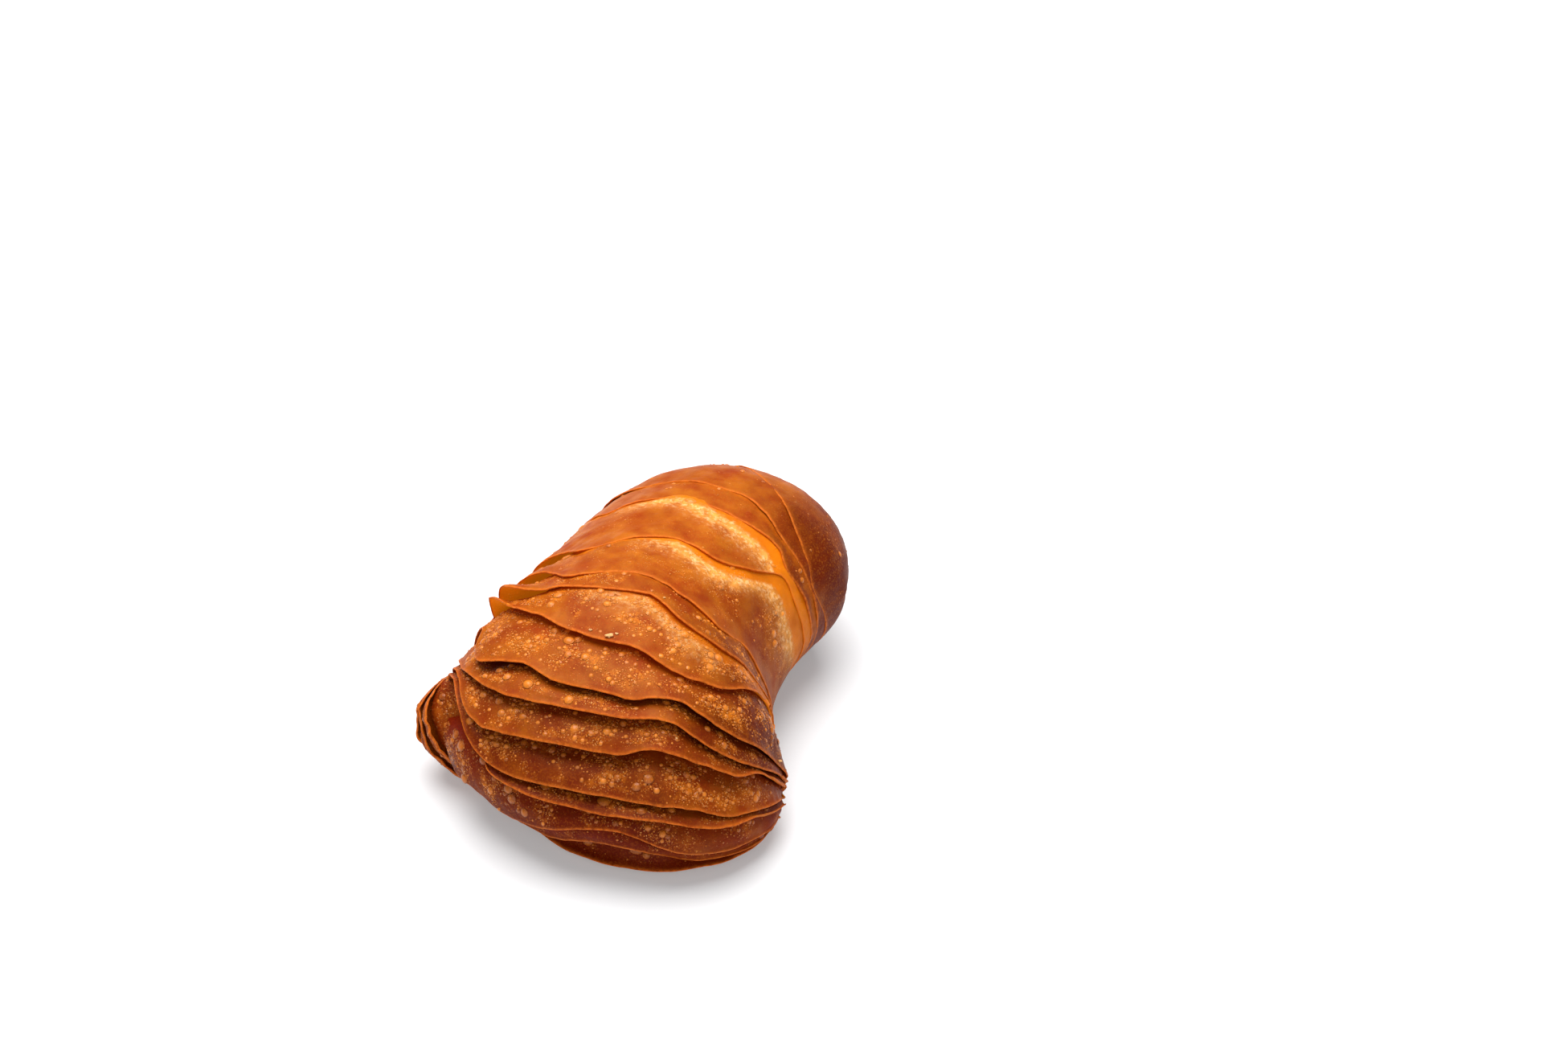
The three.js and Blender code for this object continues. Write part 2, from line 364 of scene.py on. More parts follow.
LEAVES = (
    Leaf(
        "far_cap",
        (-119, -119, -119, -119, -119, -119, -118, -117, -115, -114)
        + (-114, -113, -112, -111, -110, -110, -110, -113, -118),
        0.05, 0.2, toast=0.5,
    ),
    Leaf(
        "far_wrap",
        (-104, -101, -100, -99, -99, -99, -99, -99.5, -100, -101)
        + (-101, -102, -102, -102, -102, -102, -102, -100, -103),
        0.1, 0.4, toast=0.5, blisters=60,
    ),
    Leaf(
        "barrel_leaf_1",
        (-72, -56, -50, -47, -52, -57, -63, -68.5, -76, -82, -84, -86, -87, -88, -88, -88, -88, -82, -72),
        0.12, 0.6, toast=0.4, blisters=160, largest=1.8,
    ),
    Leaf(
        "barrel_leaf_2",
        (-52, -46, -45, -46, -48, -50.5, -54.5, -57, -57, -56, -55, -53.5, -53, -52, -52, -51, -50, -50, -52),
        0.12, 0.8, toast=0.32, blisters=70,
    ),
    Leaf(
        "barrel_leaf_3",
        (-42, -42, -42, -42, -42, -45.5, -46, -46, -47.5, -42.5, -40, -36.5, -37, -37, -36, -35, -34, -38, -42),
        0.12, 1.2, toast=0.24, glow=0.3, lining=0.9, blisters=60,
    ),
    Leaf(
        "crescent_leaf_1",
        (-32, -37, -38, -38.5, -40, -32, -26.5, -27.5, -24, -17.5, -16, -17.5, -17.5, -16, -14.5, -14, -15, -23, -32),
        0.22, 1.4, flare=1.6, hump=(122, 140, 156), lift=1.0, toast=0.2, pale=1.0, pale_span=(22, 116), glow=1.0,
        lining=0.95, blisters=170, largest=2.8,
    ),
    Leaf(
        "crescent_leaf_2",
        (-16, -13, -10, -9, -9.5, -7, -8, -10, -8, -6, -7.6, -8.6, -8, -7, -6.6, -6.4, -8, -11, -16),
        0.3, 1.2, flare=1.6, hump=(116, 136, 152), lift=1.4, toast=0.24, pale=1.0, pale_span=(0, 92), glow=1.0,
        lining=0.95, blisters=420, largest=2.4,
    ),
    Leaf(
        "crescent_leaf_3",
        (-11, -10, -8, -5, -3, -1.5, -1.5, -5.5, -4, -2.8, -2.4, -2.4, -3, -4, -3.8, -3.4, -3.6, -7, -11),
        0.9, 0.8, flare=3.8, lift=1.0, toast=0.3, glow=0.5, lining=0.95, blisters=700, largest=1.5,
    ),
    Leaf(
        "flap_leaf",
        (-5, -7, -7, -2, 4, 9, 10, 8, 7.5, 5, 3.5, 2, 0, -2.5, -2, -1, 0, -2, -5),
        2.2, 0.9, flare=3.6, pointed=True, toast=0.32, pale=0.6, pale_span=(50, 98), glow=0.6, lining=0.8,
        blisters=4200, largest=2.2, big=18,
    ),
    Leaf(
        "fan_leaf_1",
        (8, 13, 15, 17, 18, 17, 15.5, 18, 18, 15, 15.2, 15.6, 13.6, 5, 3.2, 3, 3, 3, 4),
        3.8, 1.0, flare=1.5, hump=(112, 127, 139), toast=0.4, blisters=4600, largest=2.4, big=22,
    ),
    Leaf(
        "fan_leaf_2",
        (14, 18, 20, 23, 24, 22.5, 20.5, 22.4, 22.6, 22.3, 21.4, 20, 18.2, 16, 12, 8.5, 6.5, 7, 9),
        4.4, 1.1, toast=0.46, blisters=3400, largest=2.4, big=16,
    ),
    Leaf(
        "fan_leaf_3",
        (21, 24, 25.5, 25, 28, 27, 26.5, 29.5, 30, 30, 29.5, 28, 24.5, 19, 14.5, 12, 10.5, 11, 15),
        6.0, 1.3, toast=0.6, blisters=3400, largest=2.2, big=18,
    ),
    Leaf(
        "fan_leaf_4",
        (33, 36, 38, 40.5, 42, 40, 40, 40, 40, 40, 38.5, 35, 28.8, 22, 17, 14.2, 12.8, 15, 24),
        6.2, 1.3, toast=0.84, blisters=3200, largest=2.2, big=18,
    ),
    Leaf(
        "fan_leaf_5",
        (42, 43, 45.5, 43.5, 45.5, 46, 44.5, 45, 44.5, 43.5, 41, 38.5, 36, 34, 32, 30, 29, 34, 40),
        4.0, 1.0, dent=8.0, toast=0.92, blisters=2600, largest=2.6, big=40,
    ),
    Leaf(
        "fan_leaf_6",
        (54, 58, 60, 60, 60, 59.5, 55, 50.5, 54, 57, 57.5, 57, 55, 53, 50, 48, 46, 50, 54),
        4.0, 1.0, toast=0.98, blisters=1700, largest=2.6, big=14,
    ),
    Leaf(
        "fan_leaf_7",
        (63, 65, 66, 67, 67, 67, 62, 57.5, 61, 66, 66.5, 66, 64, 62, 61, 60, 58, 60, 63),
        6.5, 1.6, toast=1.05, blisters=420, largest=2.6, big=10,
    ),
    Leaf(
        "fan_leaf_8",
        (72, 72, 72, 73, 74, 76, 78, 79, 79, 79, 79, 79, 78.5, 78, 78, 78, 77, 75, 73),
        2.0, 0.6, toast=1.1, cup=0.7, blisters=300, largest=3.0, big=40,
    ),
)


@dataclass
class Sheet:
    """A sheet of dough: its outer face as a grid of points, root row first and free rim last."""

    outer: Array
    thickness: Array
    closed: bool
    marks: dict[str, Array]
    lining: float = 0.5
    inner_rows: int = 9
    rim_steps: int = 5

    def normals(self) -> Array:
        """Unit normals of the outer face: the cross product of its two grid directions."""
        if self.closed:
            ring = np.concatenate([self.outer[:, -1:], self.outer, self.outer[:, :1]], 1)
            along = (ring[:, 2:] - ring[:, :-2]) / 2
        else:
            along = np.gradient(self.outer, axis=1)
        down = np.gradient(self.outer, axis=0)
        return unit(np.cross(along, down))

    def inner_faces(self) -> slice:
        """The faces of the inner side, as numbered in the skin of a closed sheet."""
        rows, columns = self.outer.shape[:2]
        first = rows + self.rim_steps
        return slice(first * columns, (first + self.inner_rows - 1) * columns)

    def skin(self) -> Skin:
        """The closed mesh: outer face, a half round rim, and the inner face one thickness below.

        Returns:
            The skin; an open sheet is closed at both ends by one face.
        """
        rows, columns = self.outer.shape[:2]
        normal = self.normals()
        inward = -normal * self.thickness[..., None]
        last, before = self.outer[-1], self.outer[-2]
        forward = unit(last - before)
        radius = self.thickness[-1][:, None] / 2
        centre = last - normal[-1] * radius
        turn = np.linspace(0, np.pi, self.rim_steps + 2)[1:-1, None, None]
        arc = centre + radius * (normal[-1] * np.cos(turn) + forward * np.sin(turn))
        back = np.round(np.linspace(rows - 1, 0, self.inner_rows)).astype(int)
        points = np.concatenate([self.outer, arc, self.outer[back] + inward[back]])
        below = {name: m[back] for name, m in self.marks.items()}
        # The inner face takes at least the lining share of painted light through the thin dough.
        below["glow"] = np.maximum(below["glow"], self.lining)
        marks = {
            name: np.concatenate([m, np.repeat(m[-1:], self.rim_steps, 0), below[name]]).ravel()
            for name, m in self.marks.items()
        }
        count = len(points)
        faces = [ring_faces(count, columns, True, self.closed)]
        if not self.closed:
            loop = np.arange(count) * columns
            faces += [loop[None, :], (loop + columns - 1)[None, ::-1]]
        points[..., 2] = np.maximum(points[..., 2], 0)
        return Skin(points.reshape(-1, 3), faces, marks).outward()


@dataclass
class Bed:
    """A face on which blisters sit: its grid of points, normals and marks, and how they gather there."""

    name: str
    outer: Array
    normal: Array
    marks: dict[str, Array]
    weight: Array
    count: int
    largest: float
    big: int = 6


@dataclass
class LeafStack:
    """The main shell: overlapping leaves from the far end to the near end."""

    form: ShellForm
    leaves: tuple[Leaf, ...] = LEAVES
    columns: int = 560
    buried: float = 5.0
    thickness: float = 0.6
    # Least lining of a leaf whose inner face has the second finish.
    clear: float = 0.8
    beds: list[Bed] = field(default_factory=list)
    # Outer face, normals and coordinates of each leaf, for the crumbs.
    faces: dict[str, tuple[Array, Array, dict[str, Array]]] = field(default_factory=dict)

    def rim(self, k: int, v: Array) -> Array:
        """Station of the free rim of leaf k at angles v, with a gentle wander of its own."""
        angle = np.where(v > 240, v - 360, v)
        s = monotone(ANGLES, self.leaves[k].rim, angle)
        round_v = np.stack([np.cos(np.radians(v)), np.sin(np.radians(v)), np.zeros_like(v)], -1)
        top = smooth(np.sin(np.radians(v)), -0.2, 0.5)
        wander = 0.3 * swell(round_v * 40, 22, 100 + k) + 0.12 * swell(round_v * 40, 5, 300 + k)
        wander = wander + 0.03 * swell(round_v * 40, 1.4, 400 + k)
        return s + wander * top

    def above(self, v: Array) -> Array:
        """1 on the part of a section that shows, fading to 0 on the underside."""
        return smooth(np.sin(np.radians(v)), -0.45, 0.05)

    def gap(self, k: int, v: Array) -> Array:
        """Depth of the gap below the rim of leaf k: widest at the crown, narrow at the flanks."""
        sine = np.maximum(np.sin(np.radians(v)), 0)
        ear = self.leaves[k].lift * smooth(v, 108, 130) * (1 - smooth(v, 146, 168))
        return self.above(v) * self.leaves[k].gap * (0.15 + 0.85 * sine) + 0.15 + ear

    def flare(self, k: int, v: Array) -> Array:
        """How far the rim of leaf k stands off the form, in mm: a hump on the left shoulder."""
        if self.leaves[k].pointed:
            hump = np.interp(v, (116, 130, 141, 150, 168), (0, 0.28, 1, -0.4, 0))
        else:
            low, peak, high = self.leaves[k].hump
            hump = np.where(v < peak, smooth(v, low, peak), 1 - smooth(v, peak, high))
        return self.leaves[k].flare * hump

    def sheet(self, k: int) -> Sheet:
        """Leaf k as a sheet.

        The outer face starts buried below the leaf before, comes out at that leaf's rim one gap
        deep, and rises to the form at its own rim along depth = gap (1 - t)^cup. It ends in a
        slight curl, plus its flare less its dent, and random fields make it uneven.

        Args:
            k: number of the leaf.

        Returns:
            The sheet, with its marks.
        """
        leaf = self.leaves[k]
        v = shell_angles(self.columns)[None, :]
        end = self.rim(k, v)
        if k:
            start, gap = self.rim(k - 1, v), self.gap(k - 1, v)
            reach = smooth(np.sin(np.radians(v)), 0.15, 0.7) * self.leaves[k - 1].reach
        else:
            start, gap, reach = np.full_like(v, self.form.station[0]), np.full_like(v, 0.3), 0 * v
        end = np.maximum(end, start + 0.35)
        root = start - reach
        hidden = np.linspace(-1, 0, 5)[:-1, None]
        seen = 1 - (1 - np.linspace(0, 1, 24)[:, None]) ** 1.35
        t = np.concatenate([hidden, seen])
        s = np.where(t < 0, root + t * self.buried, root + t * (end - root))
        curl = 0.35 * smooth(t, 0.8, 1) * self.above(v) * min(1, leaf.gap / 2)
        deep = np.where(t < 0, gap - t * self.buried, gap * np.clip(1 - t, 0, 1) ** leaf.cup)
        dent = leaf.dent * smooth(v, 116, 134)
        depth = deep - curl - self.flare(k, v) * smooth(t, 0.35, 1) + dent
        outer = self.form.point(s, v, depth)
        if k == 0:
            pole = np.array(self.form.far_pole) - np.array(self.form.middle)
            share = np.linspace(0.05, 0.96, 12)[:, None, None]
            cap = pole + (outer[4:5] - pole) * share
            cap[..., 1] += 8 * (share * (1 - share))[..., 0]
            outer = np.concatenate([cap, outer[4:]])
            t = np.concatenate([np.zeros((12, 1)), t[4:]])
        grid = np.broadcast_to(t, outer.shape[:2])
        top = np.broadcast_to(self.above(v), grid.shape)
        sheet = Sheet(outer, np.ones(grid.shape), True, {}, leaf.lining)
        normal = sheet.normals()
        uneven = 0.2 * swell(outer, 13, 500 + k) + 0.06 * swell(outer, 3.2, 600 + k)
        ruffle = leaf.ruffle * swell(outer, 17, 700 + k) * smooth(grid, 0.4, 1)
        if k:
            outer = outer + normal * ((uneven * smooth(grid, 0, 0.2) + ruffle) * top)[..., None]
        span = np.linalg.norm(np.diff(outer, axis=0), axis=-1)
        to_rim = np.concatenate([np.cumsum(span[::-1], 0)[::-1], np.zeros((1, grid.shape[1]))])
        from_root = np.concatenate([np.zeros((1, grid.shape[1])), np.cumsum(span, 0)])
        first = int((t < 0).sum())
        from_root = np.maximum(from_root - from_root[first], 0)
        sheet.outer = outer
        sheet.thickness = self.thickness * (1.15 - 0.5 * smooth(grid, 0.6, 1))
        angle = np.broadcast_to(v, grid.shape)
        cluster = swell(outer, 9, 900 + k) + 0.5 * swell(outer, 3.5, 950 + k)
        wobble = 0.9 * swell(outer, 6, 800 + k) + 0.5 * swell(outer, 1.9, 850 + k)
        sheet.marks = self.bake(leaf, grid, angle, to_rim, from_root, wobble, cluster)
        shown = (t > 0.02) * smooth(np.sin(np.radians(angle)), -0.1, 0.35)
        shown = shown * (1 + (1.5 + leaf.dent) * smooth(angle, 126, 150)) * smooth(grid, 0, 0.12)
        away = smooth(to_rim, 0.7, 3.4) * (1 - 0.6 * smooth(grid, 0.5, 0.9))
        weight = shown * away * np.exp(1.5 * cluster)
        bed = Bed(leaf.name, outer, sheet.normals(), sheet.marks, weight, leaf.blisters, leaf.largest, leaf.big)
        self.beds.append(bed)
        self.faces[leaf.name] = (outer, sheet.normals(), {"t": grid, "v": angle})
        return sheet

    def bake(
        self, leaf: Leaf, t: Array, v: Array, to_rim: Array, from_root: Array, wobble: Array, cluster: Array
    ) -> dict[str, Array]:
        """How each place of a leaf is baked, and where shade and light are painted on it, as marks from 0 to 1.

        Rim is a bell curve of the distance to the rim, where a painted highlight lies. Toast is the
        leaf's own value, partly browning and partly painted shade; at the right flank it takes painted
        shade on the paler leaves and painted light on the darkest, and it is raised on the underside
        and in the sunk left shoulder. Pale is a band that starts a few mm from the root and fades, and
        what lies between the root and that band takes painted light that comes through the thin rim
        above. Crevice is painted shade below the rim of the leaf before: it falls off as
        exp(-distance from the root / hollow), is strongest on the darkest leaves and weaker in the
        dent. Fried follows the blisters and fades near the rim.

        Args:
            leaf: the leaf.
            t: 0 where it comes out and 1 at its rim.
            v: angles in degrees.
            to_rim: distance to the rim in mm.
            from_root: distance from where it comes out in mm.
            wobble: unevenness of those distances in mm.
            cluster: how strongly the blisters gather there, about -1 to 1.

        Returns:
            The marks rim, toast, pale, glow, crevice, fried and blister.
        """
        sine, cosine = np.sin(np.radians(v)), np.cos(np.radians(v))
        right = smooth(cosine, 0.2, 0.95)
        under = 1 - smooth(sine, -0.5, 0.1)
        first, last = leaf.pale_span
        crown = smooth(v, first - 8, first + 14) * (1 - smooth(v, last - 16, last + 10))
        along = from_root + 0.6 * wobble
        start = 1.3 + 4.0 * (1 - smooth(v, 30, 108)) * leaf.pale
        crust = smooth(along, start - 0.3, start + 1.3) * np.exp(-((np.maximum(along - start - 1.3, 0) / 3.8) ** 2))
        # Painted shade below the rim of the leaf before: hollow is its length in mm, hidden its strength, more on
        # darker leaves.
        hollow = 12.0 if leaf.cup < 1 else 1.5 + 4.0 * leaf.toast
        shade, hidden = np.exp(-from_root / hollow), np.clip(1.5 * leaf.toast - 0.12, 0, 1)
        # Toast is darkened in the sunk left shoulder, painted shade in a recess, and moved at the right flank: painted
        # shade on the paler leaves, painted light on the darkest.
        folded = 0.015 * leaf.dent * smooth(v, 122, 138)
        turned = 0.6 * (1 - 0.5 * leaf.pale) * (1 - 1.6 * smooth(np.float64(leaf.toast), 0.35, 0.8))
        fried = min(1.0, leaf.blisters / 900) * smooth(t, 0.02, 0.15) * (1 - 0.85 * smooth(t, 0.6, 0.95))
        return {
            # Painted highlight along the rim.
            "rim": np.exp(-((to_rim / 0.45) ** 2)),
            "toast": np.clip(leaf.toast + turned * right + 0.35 * under + 0.05 * wobble + folded, 0, 1.3),
            "pale": leaf.pale * crown * crust,
            # Painted light that comes through the thin rim above, where the leaf comes out.
            "glow": leaf.glow * (1 - smooth(along, start - 0.2, start + 1.8)) * (1 - under),
            "crevice": shade * hidden * (1 - 0.1 * leaf.dent * smooth(v, 120, 134)),
            "fried": fried * (1 - under) * smooth(cluster, -0.5, 0.7),
            "blister": np.zeros_like(to_rim),
        }

    def build(self, finish: bpy.types.Material, lining: bpy.types.Material) -> list[bpy.types.Object]:
        """Builds every leaf.

        Args:
            finish: crust material.
            lining: material of the inner faces of the leaves that light comes through.

        Returns:
            One piece per leaf.
        """
        pieces = []
        for k, leaf in enumerate(self.leaves):
            sheet = self.sheet(k)
            lined = (lining, sheet.inner_faces()) if leaf.lining >= self.clear else None
            pieces.append(make_piece(leaf.name, sheet.skin(), finish, lined))
        return pieces


@dataclass
class InnerDough:
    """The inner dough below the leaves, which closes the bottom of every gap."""

    form: ShellForm
    columns: int = 120
    rows: int = 90

    def build(self, finish: bpy.types.Material) -> bpy.types.Object:
        """Builds the inner body: the form sunk by a depth that grows towards the fan.

        Args:
            finish: crust material.

        Returns:
            The piece.
        """
        v = shell_angles(self.columns)[None, :]
        s = np.linspace(-122, 79, self.rows)[:, None]
        sine = np.maximum(np.sin(np.radians(v)), 0)
        sink = monotone((-122, -60, -20, 0, 20, 50, 79), (1.6, 3.2, 5, 7, 11, 11, 4), s)
        body = self.form.point(s, v, sink * (0.35 + 0.65 * sine) + 0.4)
        middle = np.array(self.form.middle)
        far, near = np.array(self.form.far_pole) - middle, np.array(self.form.near_pole) - middle
        share = np.array([0.45, 0.8])[:, None, None]
        body = np.concatenate([far + (body[:1] - far) * share, body, near + (body[-1:] - near) * share[::-1]])
        body[..., 2] = np.maximum(body[..., 2], 0.35)
        rows = len(body)
        points = np.concatenate([body.reshape(-1, 3), far[None] + (0, 0, 1), near[None] + (0, 0, 0.5)])
        j = np.arange(self.columns)
        n = rows * self.columns
        caps = [np.stack([np.full_like(j, n), j, (j + 1) % self.columns], -1)]
        last = n - self.columns
        caps.append(np.stack([np.full_like(j, n + 1), last + (j + 1) % self.columns, last + j], -1))
        faces = [ring_faces(rows, self.columns, False, True), *caps]
        ones = np.ones(len(points))
        # Colour of the inner body, seen only down the gaps: painted shade, dark toast and a little painted light
        # through the dough.
        values = {"rim": 0, "toast": 0.9, "pale": 0, "glow": 0.15, "crevice": 0.35, "fried": 0.5, "blister": 0}
        marks = {mark: value * ones for mark, value in values.items()}
        return make_piece("inner_dough", Skin(points, faces, marks).outward(), finish)


@dataclass
class FoldedLobe:
    """The small fan of leaves folded over beside the left end of the shell."""

    form: ShellForm
    top: tuple[float, float, float] = (-43, -15.5, 22.5)
    foot: tuple[float, float, float] = (-27.5, -24.5, 1.5)
    out: tuple[float, float, float] = (-1, 0.25, 0)
    angles: tuple[float, ...] = (10, 32, 50, 66, 82, 168)
    rises: tuple[float, ...] = (10.0, 13.2, 14.5, 15.0, 14.6, 8.0)
    gap: float = 1.8
    columns: int = 150
    beds: list[Bed] = field(default_factory=list)

    def place(self, angle: Array, rise: Array, turn: Array) -> Array:
        """Points at an angle about the slanted axis, on a half oval of the given rise.

        Args:
            angle: angle about the axis in degrees.
            rise: greatest distance from the axis in mm.
            turn: 0 at the top end of the half oval and pi at its foot.

        Returns:
            Points with xyz in the last axis.
        """
        middle = np.array(self.form.middle)
        top, foot = np.array(self.top) - middle, np.array(self.foot) - middle
        axis = top - foot
        along = unit(axis)
        start = np.array(self.out)
        start = unit(start - along * (start @ along))
        cross = np.cross(along, start)
        angle, rise, turn = np.broadcast_arrays(np.radians(angle), rise, turn)
        way = start * np.cos(angle)[..., None] + cross * np.sin(angle)[..., None]
        spine = (top + foot) / 2 + axis * (0.56 * np.cos(turn))[..., None]
        return spine + way * (np.sin(turn) * (1 + 0.3 * np.cos(turn)) * rise)[..., None]

    def sheet(self, k: int) -> Sheet:
        """Leaf k of the lobe, from deep in the fold to its rim.

        Args:
            k: number of the leaf.

        Returns:
            The sheet, with its marks.
        """
        turn = np.linspace(0.02, np.pi - 0.02, self.columns)[None, :]
        before = self.angles[k - 1] if k else self.angles[0] - 24
        t = np.concatenate([np.linspace(-1, 0, 5)[:-1], 1 - (1 - np.linspace(0, 1, 16)) ** 1.3])[:, None]
        angle = before + 1 + np.clip(t, 0, 1) * (self.angles[k] - before - 1) + 4 * np.minimum(t, 0)
        last = k == len(self.angles) - 1
        level = self.rises[k]
        if last:
            level = self.rises[k - 1] + (level - self.rises[k - 1]) * np.clip(t, 0, 1) ** 0.8
        rise = level - np.where(t < 0, self.gap - t * 5, self.gap * (1 - np.clip(t, 0, 1)) ** 1.7)
        outer = self.place(angle, rise, turn)
        ends = np.sin(turn) ** 0.5
        wave = 0.5 * swell(outer, 8, 40 + k) + 0.3 * swell(outer, 3, 50 + k) * smooth(t, 0.2, 1)
        outer = outer + (wave * ends)[..., None] * unit(outer - self.place(0, 0, turn))
        outer[..., 2] = np.maximum(outer[..., 2], 0)
        grid = np.broadcast_to(t, outer.shape[:2])
        span = np.linalg.norm(np.diff(outer, axis=0), axis=-1)
        to_rim = np.concatenate([np.cumsum(span[::-1], 0)[::-1], np.zeros((1, self.columns))])
        from_root = np.maximum(to_rim[4] - to_rim, 0)
        one = np.ones_like(to_rim)
        marks = {
            # Painted highlight along the rim.
            "rim": np.exp(-((to_rim / 0.55) ** 2)),
            "toast": 0.72 * one + 0.1 * smooth(t, 0, 0.6) * last,
            "pale": 0 * one,
            "glow": 0 * one,
            # Painted shade deep in the fold, and over most of the last leaf.
            "crevice": np.maximum(0.8 * np.exp(-from_root / 2.5), 0.3 * smooth(t, 0.06, 0.4) * last),
            "fried": 0.45 * one,
            "blister": 0 * one,
        }
        sheet = Sheet(outer, 0.55 * one * np.clip(ends, 0.15, 1), False, marks)
        weight = (t > 0.02) * smooth(to_rim, 0.3, 1.5) * np.exp(1.3 * swell(outer, 7, 60 + k)) * ends
        count, largest = (420, 3.0) if last else (50, 1.0)
        self.beds.append(Bed(f"lobe_leaf_{k + 1}", outer, sheet.normals(), marks, weight, count, largest))
        return sheet

    def build(self, finish: bpy.types.Material) -> list[bpy.types.Object]:
        """Builds the leaves of the lobe.

        Args:
            finish: crust material.

        Returns:
            One piece per leaf.
        """
        return [make_piece(f"lobe_leaf_{k + 1}", self.sheet(k).skin(), finish) for k in range(len(self.angles))]


# ---- Crumbs and blisters ---------------------------------------------------------------------------------------


@dataclass
class Crumbs:
    """Loose flakes of crust that lie on the leaves."""

    stack: LeafStack
    spots: tuple[tuple[str, float, float, float], ...] = (
        ("flap_leaf", 0.94, 88, 0.85),
        ("flap_leaf", 0.86, 86, 0.4),
        ("flap_leaf", 0.9, 92, 0.45),
        ("fan_leaf_1", 0.9, 9, 0.5),
        ("fan_leaf_3", 0.5, 60, 0.3),
        ("crescent_leaf_3", 0.8, 74, 0.3),
    )

    def build(self, finish: bpy.types.Material) -> bpy.types.Object:
        """Builds the crumbs: small spheres whose radius is changed by a random field.

        Args:
            finish: crumb material.

        Returns:
            The piece.
        """
        rows, columns = 7, 12
        polar = np.linspace(0.12, np.pi - 0.12, rows)[:, None]
        turn = np.arange(columns)[None, :] * 2 * np.pi / columns
        ball = np.stack([np.sin(polar) * np.cos(turn), np.sin(polar) * np.sin(turn), np.cos(polar) + 0 * turn], -1)
        ends = np.arange(columns)
        faces = [ring_faces(rows, columns, False, True), ends[None, ::-1], (ends + (rows - 1) * columns)[None, :]]
        skins = []
        for number, (name, t, v, size) in enumerate(self.spots):
            outer, normal, marks = self.stack.faces[name]
            near = (marks["t"] - t) ** 2 + ((marks["v"] - v) / 90) ** 2
            i, j = np.unravel_index(int(near.argmin()), near.shape)
            lump = ball * (1 + 0.45 * swell(ball, 1.3, 60 + number))[..., None] * (size, 0.75 * size, 0.5 * size)
            points = (lump + outer[i, j] + normal[i, j] * 0.35 * size).reshape(-1, 3)
            skins.append(Skin(points, faces).outward())
        return make_piece("crumbs", Skin.joined(skins), finish)


